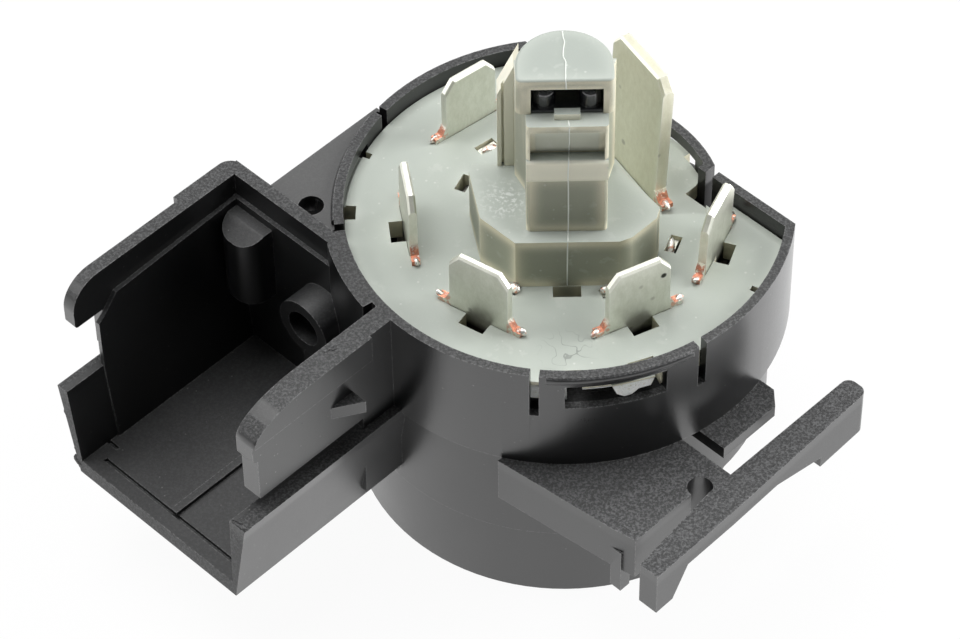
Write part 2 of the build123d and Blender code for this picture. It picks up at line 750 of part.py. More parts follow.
export_step(housing.part, "parts/housing.step")


# Terminal plate: one grey moulding with its boss and post
with BuildPart() as terminal_plate:
    with BuildSketch(uv_plane(seat_z)):
        add(collar_outline(rim_wall + plate_clearance))
        for side in (-1, 1):
            with Locations((tab_relief_u, side * sum(tab_relief_v) / 2)):
                Rectangle(collar_radius, tab_relief_v[1] - tab_relief_v[0], align=(Align.MAX, Align.CENTER),
                          mode=Mode.SUBTRACT)
    extrude(amount=plate_thickness)

    # Lugs that snap into the tabs' windows; the front one has torn out but for a lump and a sliver
    with BuildSketch(Plane.XY.offset(seat_z)):
        add(sector(plate_radius - rim_wall, plate_radius + lug_reach,
                   window_angles["left"] - lug_half_angle,
                   window_angles["left"] + lug_half_angle))
        rear_radius = bulge_radius - rim_wall - plate_clearance
        add(sector(rear_radius - rim_wall, rear_radius + lug_reach, window_angles["rear"] - lug_half_angle,
                   window_angles["rear"] + lug_half_angle))
    extrude(amount=lug_height)
    with BuildSketch(Plane.XY.offset(seat_z)):
        add(sector(break_radius, plate_radius + lug_reach, window_angles["front"] - break_half_angle,
                   window_angles["front"] + break_half_angle))
    extrude(amount=plate_thickness, mode=Mode.SUBTRACT)
    across = polar_plane(lump_angle, break_radius - plate_clearance, 0)
    with BuildSketch(Plane(origin=across.origin, x_dir=across.y_dir, z_dir=across.x_dir)):
        with BuildLine():
            Polyline(*lump_outline, close=True)
        make_face()
    extrude(amount=lump_radius - break_radius + plate_clearance)
    with BuildSketch(Plane.XY.offset(sliver_z)):
        add(sector(break_radius - plate_clearance, lump_radius - plate_clearance, *sliver_angles))
    extrude(amount=plate_top_z - sliver_z)

    # Boss and post
    with BuildSketch(Plane.XY.offset(plate_top_z)):
        with BuildLine():
            Polyline(*boss_corners, close=True)
        make_face()
    extrude(amount=boss_height)
    with BuildSketch(Plane.XY.offset(boss_top_z)):
        with BuildLine():
            Polyline((-post_half_width, post_front_y), (post_half_width, post_front_y),
                     (post_half_width, post_flare_y[0]), (post_back_half_width, post_back_y),
                     (-post_back_half_width, post_back_y), (-post_back_half_width, post_flare_y[1]),
                     (-post_half_width, post_flare_y[0]), close=True)
        make_face()
        front = vertices().group_by(Axis.Y)[0].sort_by(Axis.X)
        fillet([front[0], front[-1]], post_rounding)
    extrude(amount=post_shelf_z - boss_top_z)

    # Head, a flat front with a round crown
    with BuildSketch(Plane.XY.offset(post_shelf_z)):
        with BuildLine():
            Polyline((head_x[0], head_side_y), (head_x[0], head_front_y), (head_x[1], head_front_y),
                     (head_x[1], head_side_y))
            ThreePointArc((head_x[1], head_side_y), (sum(head_x) / 2, head_crown_y),
                          (head_x[0], head_side_y))
        make_face()
        fillet(vertices().group_by(Axis.Y)[0], head_rounding)
    extrude(amount=head_top_z - post_shelf_z)
    fillet(edges().group_by(Axis.Z)[-1], head_edge)

    # Ledge across the front with the scoop above it
    with BuildSketch(Plane.YZ.offset(-post_half_width)):
        with Locations((ledge_front_y, ledge_heights[0])):
            Rectangle(2 * ledge_proud, ledge_heights[1] - ledge_heights[0], align=Align.MIN)
        fillet(vertices().group_by(Axis.X)[0], ledge_rounding)
    extrude(amount=2 * post_half_width)
    with BuildSketch(Plane.YZ.offset(scoop_margin - post_half_width)):
        with BuildLine():
            scoop = ThreePointArc((post_front_y, scoop_heights[1]),
                                  (post_front_y + scoop_depths[0], sum(scoop_heights) / 2),
                                  (post_front_y + scoop_depths[1], scoop_heights[0]))
            Polyline(scoop @ 1, (ledge_front_y, scoop_heights[0]), (ledge_front_y, scoop_heights[1]),
                     scoop @ 0)
        make_face()
    extrude(amount=2 * (post_half_width - scoop_margin), mode=Mode.SUBTRACT)

    # Window through the head's front, and the tee on its sill
    with BuildSketch(front_plane(head_front_y)):
        with Locations((0, post_shelf_z)):
            Rectangle(2 * window_half_width, window_roof_z - post_shelf_z, align=(Align.CENTER, Align.MIN))
    extrude(amount=-window_depth, mode=Mode.SUBTRACT)
    with BuildSketch(front_plane(insert_y[0] - slot_clearance)):
        with Locations((0, post_shelf_z)):
            Rectangle(tee_width, tee_height, align=(Align.CENTER, Align.MIN))
    extrude(amount=tee_thickness)

    # Grooved fin behind the post's left side
    with BuildSketch(front_plane(fin_y[0])):
        with BuildLine():
            Polyline((fin_x[0], plate_top_z), (fin_x[1], plate_top_z), (fin_x[1], fin_top[1]),
                     (fin_x[0], fin_top[0]), close=True)
        make_face()
    extrude(amount=fin_y[0] - fin_y[1])
    with BuildSketch(Plane.XY.offset(boss_top_z)):
        with Locations((fin_groove_x, fin_y[0])):
            Rectangle(fin_groove[0], 2 * fin_groove[1])
    extrude(amount=fin_top[1] - boss_top_z, mode=Mode.SUBTRACT)

    # Notches round the edge, the step on the right and the hole at the front
    with BuildSketch(Plane.XY.offset(seat_z)):
        for angle, half_angle, depth in edge_notches:
            add(sector(plate_radius - depth, plate_radius + lug_reach,
                       angle - half_angle, angle + half_angle))
        with Locations((0, front_hole_y)):
            Rectangle(*front_hole)
    extrude(amount=plate_thickness, mode=Mode.SUBTRACT)
    with BuildSketch(Plane.XY.offset(plate_top_z - step_depth)):
        with Locations((step_x[0], 0)):
            Rectangle(step_x[1] - step_x[0], step_x[1], align=Align.MIN)
        Circle(collar_radius - rim_wall - 2 * plate_thickness, mode=Mode.INTERSECT)
    extrude(amount=step_depth, mode=Mode.SUBTRACT)

    # Blade slots, the holes at their feet and the slits for their legs
    for name, blade in blades.items():
        with BuildSketch(blade_plane(blade, 0)):
            with Locations((0, -plate_thickness)):
                Rectangle(blade.width + 2 * slot_clearance, plate_thickness,
                          align=(Align.CENTER, Align.MIN))
        extrude(amount=slot_clearance, mode=Mode.SUBTRACT)
        with BuildSketch(blade_plane(blade, 0)):
            with Locations((0, -plate_thickness)):
                Rectangle(blade.width + 2 * slot_clearance, plate_thickness,
                          align=(Align.CENTER, Align.MIN))
        extrude(amount=-blade.thickness - slot_clearance, mode=Mode.SUBTRACT)
        if name not in ("blade_back_left", "blade_wide"):
            with BuildSketch(polar_plane(blade.angle, blade.radius, plate_top_z)):
                Rectangle(foot_hole[1], foot_hole[0], align=(Align.MIN, Align.CENTER))
            extrude(amount=-plate_thickness, mode=Mode.SUBTRACT)
        for angle, radius, width, _ in blade.legs:
            with BuildSketch(polar_plane(angle, radius - leg_thickness / 2 - slot_clearance, seat_z)):
                Rectangle(leg_slot, width + 2 * slot_clearance, align=(Align.MIN, Align.CENTER))
            extrude(amount=plate_thickness, mode=Mode.SUBTRACT)

    # Bearing for the rotor's pivot
    with BuildSketch(Plane.XY.offset(seat_z)):
        Circle(pivot_radius + running_clearance)
    extrude(amount=drum_top_z + pivot_height + pivot_end_gap - seat_z, mode=Mode.SUBTRACT)
terminal_plate.part.label = "terminal_plate"
export_step(terminal_plate.part, "parts/terminal_plate.step")

# Black insert with two prongs, on the window's sill
with BuildPart() as post_insert:
    with BuildSketch(Plane.XY.offset(post_shelf_z)):
        with Locations((0, insert_y[0])):
            Rectangle(2 * window_half_width - 2 * slot_clearance, insert_y[1] - insert_y[0],
                      align=(Align.CENTER, Align.MIN))
    extrude(amount=insert_base)
    with BuildSketch(Plane.XY.offset(post_shelf_z)):
        with Locations(*((x, prong_y) for x in prong_x)):
            Circle(prong_radius)
    extrude(amount=prong_height)
    fillet(edges().group_by(Axis.Z)[-1], prong_radius / 2)
post_insert.part.label = "post_insert"
export_step(post_insert.part, "parts/post_insert.step")


# Blades: stamped contacts with a pad under the plate, a staked leg and two sheared ears
for name, blade in blades.items():
    half = blade.width / 2
    with BuildPart() as stamped:
        with BuildSketch(blade_plane(blade, blade.lean)):
            with BuildLine():
                Polyline(
                    (-half, -blade_bevel), (half, -blade_bevel), (half, blade.height - blade_corner[1]),
                    (half - blade_corner[0], blade.height), (blade_corner[0] - half, blade.height),
                    (-half, blade.height - blade_corner[1]), close=True,
                )
            make_face()
        extrude(amount=-blade.thickness)
        tip_z = plate_top_z + blade.height - blade_corner[1] - blade_bevel
        tip = edges().filter_by_position(Axis.Z, tip_z, plate_top_z + blade.height + blade_bevel)
        chamfer(tip.filter_by(lambda edge: edge.length > blade.thickness + blade_bevel), blade_bevel)
        with BuildSketch(blade_plane(blade, 0)):
            with Locations((0, -plate_thickness - pad_thickness)):
                Rectangle(blade.width, plate_thickness + pad_thickness, align=(Align.CENTER, Align.MIN))
        extrude(amount=-blade.thickness)
        for side in (-1, 1):
            with BuildSketch(blade_plane(blade, 0)):
                with BuildLine():
                    Polyline(
                        (side * (half - blade_bevel), 0), (side * (half + ear_length), 0),
                        (side * (half + ear_length), ear_rise), (side * (half + ear_rise), ear_rise),
                        (side * half, ear_wedge), (side * (half - blade_bevel), ear_wedge), close=True,
                    )
                make_face()
            extrude(amount=-blade.thickness)
        first, last, inner, outer = blade.pad
        with BuildSketch(Plane.XY.offset(pad_z)):
            add(sector(inner, outer, first, last))
        extrude(amount=pad_thickness)
        for angle, radius, width, rise in blade.legs:
            with BuildSketch(polar_plane(angle, radius, pad_z)):
                Rectangle(leg_thickness, width)
            extrude(amount=pad_thickness + plate_thickness + rise)
    stamped.part.label = name
    export_step(stamped.part, f"parts/{name}.step")


# Thrust washer on the hub
with BuildPart() as thrust_washer:
    with BuildSketch(Plane.XY.offset(hub_heights[1])):
        Circle(hub_radius)
        Circle(bore_radius, mode=Mode.SUBTRACT)
    extrude(amount=washer_thickness)
thrust_washer.part.label = "thrust_washer"
export_step(thrust_washer.part, "parts/thrust_washer.step")


# Rotor: journal, flange, drum and pivot in one moulding
with BuildPart() as rotor:
    with BuildSketch(Plane.XZ):
        with BuildLine():
            Polyline(
                (0, rotor_bottom_z), (journal_radius, rotor_bottom_z), (journal_radius, flange_z),
                (flange_radius, flange_z), (flange_radius, flange_top_z), (drum_radius, flange_top_z),
                (drum_radius, drum_top_z), (pivot_radius, drum_top_z),
                (pivot_radius, drum_top_z + pivot_height),
                (0, drum_top_z + pivot_height), close=True,
            )
        make_face()
    revolve(axis=Axis.Z)

    # Drive slot for the lock's tang, and the finger for the stops and the return spring
    with BuildSketch(Plane.XY.offset(rotor_bottom_z)):
        Rectangle(*drive_slot)
    extrude(amount=drive_slot_depth, mode=Mode.SUBTRACT)
    with BuildSketch(Plane.XY.offset(floor_top_z + finger_gap)):
        add(sector(*finger_radii, finger_angle - finger_half_angle, finger_angle + finger_half_angle))
    extrude(amount=flange_top_z - floor_top_z - finger_gap)

    # Pockets for the bridges and bores for the plungers
    for angle in bridge_angles:
        with BuildSketch(polar_plane(angle, bridge_radius, pocket_z)):
            Rectangle(bridge_width + 2 * bridge_clearance, bridge_length + 2 * bridge_clearance)
        extrude(amount=drum_top_z - pocket_z, mode=Mode.SUBTRACT)
    for angle in detent_angles:
        with BuildSketch(Plane(origin=(*polar(detent_seat_radius, angle), detent_z), z_dir=(*polar(1, angle), 0))):
            Circle(detent_radius + running_clearance)
        extrude(amount=flange_radius - detent_seat_radius + 1, mode=Mode.SUBTRACT)
rotor.part.label = "rotor"
export_step(rotor.part, "parts/rotor.step")


# Contact bridges and their springs
for number, angle in enumerate(bridge_angles, 1):
    with BuildPart() as bridge:
        with BuildSketch(polar_plane(angle, bridge_radius, bridge_z)):
            RectangleRounded(bridge_width, bridge_length, bridge_width / 6)
        extrude(amount=bridge_thickness)
        with BuildSketch(polar_plane(angle, bridge_radius, bridge_top_z)):
            with Locations((0, contact_offset), (0, -contact_offset)):
                Circle(contact_radius)
        extrude(amount=contact_height)
        fillet(edges().group_by(Axis.Z)[-1], contact_height / 2)
    bridge.part.label = f"contact_bridge_{number}"
    export_step(bridge.part, f"parts/contact_bridge_{number}.step")

    spring_bottom = pocket_z + bridge_spring_wire / 2
    spring_height = bridge_z - pocket_z - bridge_spring_wire
    spring = coil(bridge_spring_radius, bridge_spring_wire / 2, bridge_spring_turns, spring_height)
    with BuildPart() as bridge_spring:
        add(spring.moved(Location((*polar(bridge_radius, angle), spring_bottom))))
    bridge_spring.part.label = f"bridge_spring_{number}"
    export_step(bridge_spring.part, f"parts/bridge_spring_{number}.step")


# Detent plungers and their springs
for number, angle in enumerate(detent_angles, 1):
    with BuildPart() as plunger:
        with BuildSketch(radial_plane(angle, detent_z)):
            with BuildLine():
                tip_centre = detent_tip - detent_radius
                dome = ThreePointArc((detent_tip, 0), (tip_centre + detent_radius / sqrt(2), detent_radius / sqrt(2)),
                                     (tip_centre, detent_radius))
                Polyline(dome @ 1, (detent_tip - detent_length, detent_radius), (detent_tip - detent_length, 0),
                         dome @ 0)
            make_face()
        revolve(axis=Axis((0, 0, detent_z), (*polar(1, angle), 0)))
    plunger.part.label = f"detent_plunger_{number}"
    export_step(plunger.part, f"parts/detent_plunger_{number}.step")

    spring_start = detent_seat_radius + detent_spring_wire / 2
    spring_length = detent_tip - detent_length - detent_seat_radius - detent_spring_wire
    spring = coil(detent_spring_radius, detent_spring_wire / 2, detent_spring_turns, spring_length)
    seat = Plane(origin=(*polar(spring_start, angle), detent_z), z_dir=(*polar(1, angle), 0))
    with BuildPart() as detent_spring:
        add(spring.moved(seat.location))
    detent_spring.part.label = f"detent_spring_{number}"
    export_step(detent_spring.part, f"parts/detent_spring_{number}.step")


# Return spring: a torsion coil round the hub with a straight leg at each end
with BuildPart() as return_spring:
    path = Helix(pitch=return_pitch, height=return_pitch * return_turns, radius=return_radius)
    path.locate(Location((0, 0, return_z), (0, 0, return_start_angle)))
    with BuildSketch(Plane(origin=path @ 0, z_dir=path % 0)):
        Circle(return_wire_radius)
    sweep(path=path)
    for end, sense in ((0, -1), (1, 1)):
        with BuildSketch(Plane(origin=path @ end, z_dir=(path % end) * sense)):
            Circle(return_wire_radius)
        extrude(amount=return_leg)
return_spring.part.label = "return_spring"
export_step(return_spring.part, "parts/return_spring.step")
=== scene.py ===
import json
import random
from math import cos, radians, sin, sqrt

import bmesh
import bpy
from mathutils import Matrix, Vector


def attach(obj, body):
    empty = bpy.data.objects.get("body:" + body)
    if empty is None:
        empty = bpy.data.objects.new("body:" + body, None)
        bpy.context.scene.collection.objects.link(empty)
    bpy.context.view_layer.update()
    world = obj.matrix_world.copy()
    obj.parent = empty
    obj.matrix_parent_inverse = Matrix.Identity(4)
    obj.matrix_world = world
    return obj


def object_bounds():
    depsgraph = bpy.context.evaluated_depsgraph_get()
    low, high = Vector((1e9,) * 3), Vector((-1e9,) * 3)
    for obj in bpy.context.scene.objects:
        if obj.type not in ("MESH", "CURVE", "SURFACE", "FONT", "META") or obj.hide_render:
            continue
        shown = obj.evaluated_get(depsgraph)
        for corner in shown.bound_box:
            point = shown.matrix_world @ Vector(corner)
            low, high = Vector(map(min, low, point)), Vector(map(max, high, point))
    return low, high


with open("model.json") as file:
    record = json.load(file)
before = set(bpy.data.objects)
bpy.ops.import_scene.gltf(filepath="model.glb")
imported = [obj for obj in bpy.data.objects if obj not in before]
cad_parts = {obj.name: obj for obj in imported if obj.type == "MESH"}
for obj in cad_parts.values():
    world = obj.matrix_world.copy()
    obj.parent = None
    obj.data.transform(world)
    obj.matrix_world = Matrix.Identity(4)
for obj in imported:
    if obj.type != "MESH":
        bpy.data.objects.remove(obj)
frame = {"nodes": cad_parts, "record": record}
cad_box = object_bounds()
nodes = frame["nodes"]
mounts = {mount["name"]: mount for mount in frame["record"]["mounts"]}
MM = 0.001
diagonal = sqrt(0.5)
white = (1.0, 1.0, 1.0, 1.0)
share_socket, first_colour, second_colour, mixed_colour = 0, 6, 7, 2  # places on a Mix node for colours


class Level:
    """A number that varies over a surface. Plain arithmetic on it adds Math nodes."""

    def __init__(self, finish, socket):
        self.finish = finish
        self.socket = socket

    def math(self, operation, *values, clamped=False):
        inputs = {place: value for place, value in enumerate(values)}
        settings = {"operation": operation, "use_clamp": clamped}
        return self.finish.level("ShaderNodeMath", settings, inputs)

    def __add__(self, other):
        return self.math("ADD", self, other)

    def __radd__(self, other):
        return self.math("ADD", other, self)

    def __sub__(self, other):
        return self.math("SUBTRACT", self, other)

    def __rsub__(self, other):
        return self.math("SUBTRACT", other, self)

    def __mul__(self, other):
        return self.math("MULTIPLY", self, other)

    def __rmul__(self, other):
        return self.math("MULTIPLY", other, self)

    def __truediv__(self, other):
        return self.math("DIVIDE", self, other)

    def __rtruediv__(self, other):
        return self.math("DIVIDE", other, self)

    def __pow__(self, other):
        return self.math("POWER", self, other)

    def __abs__(self):
        return self.math("ABSOLUTE", self)

    def above(self, edge, blur):
        """0 below an edge, 1 above it, with a soft step as wide as blur."""
        return self.math("ADD", (self - edge) / blur, 0.5, clamped=True)

    def below(self, edge, blur):
        """1 below an edge, 0 above it."""
        return 1 - self.above(edge, blur)

    def within(self, low, high, blur):
        """1 between two edges."""
        return self.above(low, blur) * self.below(high, blur)

    def most(self, other):
        """The larger of two."""
        return self.math("MAXIMUM", self, other)

    def held(self):
        """Kept from 0 to 1."""
        return self.math("ADD", self, 0, clamped=True)


class Surface:
    """A node tree: of a finish, or of the studio around the part."""

    def __init__(self, tree):
        self.tree = tree
        self.tree.nodes.clear()

    def node(self, kind, settings, sockets):
        """Any node: its settings first, then its sockets' values or links."""
        made = self.tree.nodes.new(kind)
        for name, value in settings.items():
            setattr(made, name, value)
        for name, value in sockets.items():
            link = value.socket if isinstance(value, Level) else value
            if isinstance(link, bpy.types.NodeSocket):
                self.tree.links.new(link, made.inputs[name])
            else:
                made.inputs[name].default_value = link
        return made

    def level(self, kind, settings, sockets, output=0):
        """Any node's output, ready for arithmetic."""
        return Level(self, self.node(kind, settings, sockets).outputs[output])


class Finish(Surface):
    """One surface material. Lengths in its patterns are in metres, in the part's own frame."""

    def __init__(self, name):
        self.material = bpy.data.materials.new(name)
        self.material.use_nodes = True
        super().__init__(self.material.node_tree)
        self.place = self.node("ShaderNodeTexCoord", {}, {}).outputs["Object"]
        split = self.node("ShaderNodeSeparateXYZ", {}, {"Vector": self.place})
        self.x, self.y, self.z = (Level(self, socket) for socket in split.outputs)
        faces = self.node("ShaderNodeNewGeometry", {}, {})
        self.normal = faces.outputs["Normal"]
        facing = self.node("ShaderNodeSeparateXYZ", {}, {"Vector": self.normal})
        self.facing_x, self.facing_y, self.facing_z = (Level(self, socket) for socket in facing.outputs)

    def moved(self, scale, shift):
        """The part's own coordinates, scaled and shifted for a pattern."""
        settings = {"Vector": self.place, "Scale": scale, "Location": (shift, shift, shift)}
        return self.node("ShaderNodeMapping", {}, settings).outputs[0]

    def turn_at_edges(self, width, samples):
        """1 on flat places, less where a bevel of that width turns the surface."""
        turned = self.node("ShaderNodeBevel", {"samples": samples}, {"Radius": width}).outputs[0]
        return self.level("ShaderNodeVectorMath", {"operation": "DOT_PRODUCT"},
                          {0: turned, 1: self.normal}, "Value")

    def noise(self, size, detail=2.0, roughness=0.5, stretch=(1, 1, 1), shift=0.0):
        """Cloudy pattern from 0 to 1 whose blotches are about size across."""
        placed = self.moved(tuple(1 / (size * part) for part in stretch), shift)
        return self.level("ShaderNodeTexNoise", {}, {"Vector": placed, "Scale": 1.0, "Detail": detail,
                                                     "Roughness": roughness})

    def specks(self, size, share, shift=0.0):
        """Small separate dots, on about that share of the surface's cells."""
        placed = self.moved((1 / size,) * 3, shift)
        cells = self.node("ShaderNodeTexVoronoi", {"feature": "F1"}, {"Vector": placed, "Scale": 1.0})
        near = Level(self, cells.outputs["Distance"])
        pick = self.level("ShaderNodeSeparateColor", {}, {"Color": cells.outputs["Color"]})
        dot_radius, dot_blur, pick_blur = 0.28, 0.15, 0.001
        return near.below(dot_radius, dot_blur) * pick.below(share, pick_blur)

    def edges(self, width):
        """1 on edges and corners, where a bevel of that width turns the surface."""
        least_turn, blur = 0.025, 0.05
        return self.turn_at_edges(width, 4).below(1 - least_turn, blur)

    def near_edges(self, width, share):
        """Goes from 1 at an edge to 0 about that width away from it."""
        return ((1 - self.turn_at_edges(width, 8)) / share).held() ** 0.5

    def hairs(self, pattern, width):
        """Thin wandering lines where a pattern passes its middle."""
        return abs(pattern - 0.5).below(width, width / 2)

    def spot(self, centre, radius, blur):
        """1 within a radius of a point, given in millimetres."""
        away = self.level("ShaderNodeVectorMath", {"operation": "DISTANCE"},
                          {0: self.place, 1: tuple(c * MM for c in centre)}, "Value")
        return away.below(radius * MM, blur * MM)

    def blend(self, share, first, second):
        """Colour that goes from the first to the second as share goes from 0 to 1."""
        first, second = ((*c, 1.0) if isinstance(c, tuple) else c for c in (first, second))
        sockets = {share_socket: share, first_colour: first, second_colour: second}
        return self.node("ShaderNodeMix", {"data_type": "RGBA"}, sockets).outputs[mixed_colour]

    def relief(self, height, depth, strength, under=None):
        """Bumps as deep as depth where height is 1, over the bumps already there."""
        sockets = {"Height": height, "Distance": depth, "Strength": strength}
        if under is not None:
            sockets["Normal"] = under
        return self.node("ShaderNodeBump", {}, sockets).outputs[0]

    def finish(self, colour, roughness, normal, metallic=0.0, ior=1.5):
        """The material, once its colour, roughness and bumps are made."""
        sockets = {"Base Color": colour, "Roughness": roughness, "Normal": normal,
                   "Metallic": metallic, "IOR": ior}
        shader = self.node("ShaderNodeBsdfPrincipled", {}, sockets)
        self.node("ShaderNodeOutputMaterial", {}, {"Surface": shader.outputs[0]})
        return self.material


def wear(name, material):
    """Puts a finish on a CAD node."""
    mesh = nodes[name].data
    mesh.materials.clear()
    mesh.materials.append(material)


def soften(name, width):
    """Joins a CAD node's loose triangles and rounds its edges by a width in millimetres."""
    changes = nodes[name].modifiers
    weld = changes.new("joined", "WELD")
    weld.merge_threshold = weld_distance * MM
    flat = changes.new("flat_faces", "DECIMATE")
    flat.decimate_type = "DISSOLVE"
    flat.angle_limit = radians(flat_angle)
    bevel = changes.new("rounded_edges", "BEVEL")
    bevel.width = width * MM
    bevel.segments = 2
    bevel.limit_method = "ANGLE"
    bevel.angle_limit = radians(edge_angle)
    bevel.use_clamp_overlap = True
    bevel.harden_normals = True
    bevel.miter_outer = "MITER_ARC"
    even = changes.new("even_shading", "WEIGHTED_NORMAL")
    even.mode = "FACE_AREA"
    even.weight = 100


# Sizes in millimetres and degrees. The blades' and the heights are the CAD part's.
plate_top = mounts["terminal_blades"]["pos_m"][2] / MM
post_top = cad_box[1][2] / MM
boss_top = 36.1
head_base = 50.0
weld_distance = 0.001
doubles_distance = 0.0005
flat_angle = 0.5
edge_angle = 28
blade_sizes = {  # angle, radius, width, thickness and twist of each blade
    "blade_front_left": (-123.0, 14.9, 6.3, 0.8, -0.8),
    "blade_front_right": (-63.7, 14.6, 6.3, 0.8, 0.6),
    "blade_left": (186.0, 14.9, 6.3, 0.8, 2.5),
    "blade_right": (-18.9, 14.8, 6.3, 0.8, -6.0),
    "blade_back_left": (125.4, 15.5, 5.9, 0.8, 2.1),
    "blade_wide": (38.0, 9.3, 8.4, 1.2, -7.5),
}
ear_length = 1.3
ear_overlap = 0.2
ear_rise = 0.35
ear_tip = (1.2, 0.62, 0.75)
bead_radius = 0.06
bead_sides = 6
bumps_on_lump = 9
bump_heights = (-0.45, 0.6)
bump_sharpness = 4
lump_lean = (-0.3, 0.3)
lump_rise = (-0.2, 0.5)
seeds_per_blade = 10
leg_seed = 70
crumb_seed = 40
crumb_way = (-0.7, -0.7)  # along the cradle, out of its mouth
leg_ends = (  # angle, radius, height over the plate and size of each leg's crushed end
    (-119.5, 10.2, 0.25, (1.5, 0.9, 0.9)),
    (-69.0, 10.1, 0.25, (1.5, 0.9, 0.9)),
    (-20.6, 10.4, -0.35, (1.7, 0.8, 0.7)),
    (127.9, 11.2, 0.0, (1.9, 0.8, 0.6)),
)
crumbs = (  # u and v along and across the cradle, height and size of each torn scrap
    (41.0, -25.1, 17.3, (0.5, 0.5, 1.6)),
    (41.0, -24.35, 12.0, (0.5, 0.6, 1.2)),
    (41.1, -24.1, 10.1, (0.6, 1.1, 0.9)),
    (41.0, -23.9, 9.5, (0.5, 0.9, 0.7)),
    (41.0, -1.6, 20.2, (0.6, 1.5, 0.5)),
    (40.8, -0.7, 20.25, (0.7, 0.8, 0.5)),
    (26.9, -2.6, 32.0, (1.1, 0.5, 0.5)),
    (27.7, -2.9, 32.0, (0.7, 0.4, 0.4)),
)

# Where the housing's finish changes
bar_start = 29.6  # x - y, which grows from the cradle's far wall to the bar
shoulder = 19.0
cavity_radius = 20.6
cavity_heights = (20.5, 30.4)
cradle_start = -24.9  # x + y, which falls towards the cradle's mouth
cradle_sides = (-35.4, -2.6)  # x - y
cradle_layer_top = 29.3
ear_heights = (31.0, 31.6)
mouth_start = -57.4  # x + y

# Where the terminal plate's finish changes
fin_corner = (-4.65, 0.8)
tee_place = (0.0, -6.0, 50.0)
scoop_depths = (-7.25, -6.2)
scoop_heights = (45.6, 49.4)
scoop_half_width = 2.8
ledge_front = -7.33
ledge_heights = (42.8, 45.5)
rubbed_place = (-5.3, -3.4, boss_top)
scraped_place = (-0.2, -16.6, plate_top)
torn_front = -18.9
torn_top = 29.75
hole_shade_place = (8.6, -12.0, 35.1)


def moulded_black():
    """Satin on the walls, sandy on the faces that look up, dull inside, where painted shade darkens the
    cavity.
    """
    f = Finish("moulded_black")
    along = f.x + f.y
    across = f.x - f.y
    grain = f.noise(0.16 * MM, 3.0, 0.6)
    sand = f.noise(0.24 * MM, 4.0, 0.7, shift=3.0)
    cloud = f.noise(6.0 * MM, 3.0, 0.55)
    drag = f.noise(0.5 * MM, 3.0, 0.6, stretch=(1, 1, 14))
    top = f.facing_z.above(0.6, 0.2)
    on_bar = across.above(bar_start * MM, 0.6 * MM)
    lower = f.z.below(shoulder * MM, 0.6 * MM)
    inside = (f.x * f.x + f.y * f.y).below((cavity_radius * MM) ** 2, 0.4 * MM * MM)
    inside = inside * f.z.within(cavity_heights[0] * MM, cavity_heights[1] * MM, 0.4 * MM)
    in_cradle = along.below(cradle_start * MM, 0.4 * MM) * f.z.below(cradle_layer_top * MM, 0.3 * MM)
    in_cradle = in_cradle * across.within(cradle_sides[0] * MM, cradle_sides[1] * MM, 0.3 * MM)
    on_ear = f.z.within(ear_heights[0] * MM, ear_heights[1] * MM, 0.1 * MM)
    mouth = ((f.facing_x + f.facing_y) * -diagonal).above(0.75, 0.2)
    mouth = mouth * along.below(mouth_start * MM, 0.2 * MM)
    ledge = (top * (1 - in_cradle * 0.75) * (1 - on_ear * 0.7)).most(mouth * 0.8)
    worn = f.edges(0.16 * MM) * sand.above(0.48, 0.12)
    dust = f.specks(0.28 * MM, 0.02) * cloud.above(0.52, 0.1)
    colour = f.blend(cloud, (0.0060, 0.0063, 0.0067), (0.010, 0.0103, 0.0108))
    sandy = ledge * sand.above(0.53, 0.16) * (0.75 + 0.6 * on_bar).held()
    colour = f.blend(sandy, colour, (0.085, 0.086, 0.088))
    colour = f.blend(on_ear * top * 0.5, colour, (0.10, 0.10, 0.10))
    colour = f.blend(worn * 0.55, colour, (0.22, 0.22, 0.22))
    colour = f.blend(dust * 0.35, colour, (0.25, 0.25, 0.24))
    # painted shade: the round cavity inside the collar is painted almost black
    colour = f.blend(inside * 0.8, colour, (0.001, 0.001, 0.001))
    rough = 0.23 + 0.07 * cloud + 0.07 * grain
    rough = rough + 0.26 * top + 0.08 * lower + 0.4 * inside + 0.3 * mouth
    bump = f.relief(grain, 0.012 * MM, 0.5)
    bump = f.relief(sand * ledge, 0.09 * MM, 0.9, bump)
    bump = f.relief(drag * (1 - top), 0.010 * MM, 0.35, bump)
    return f.finish(colour, rough.held(), bump, ior=1.62)


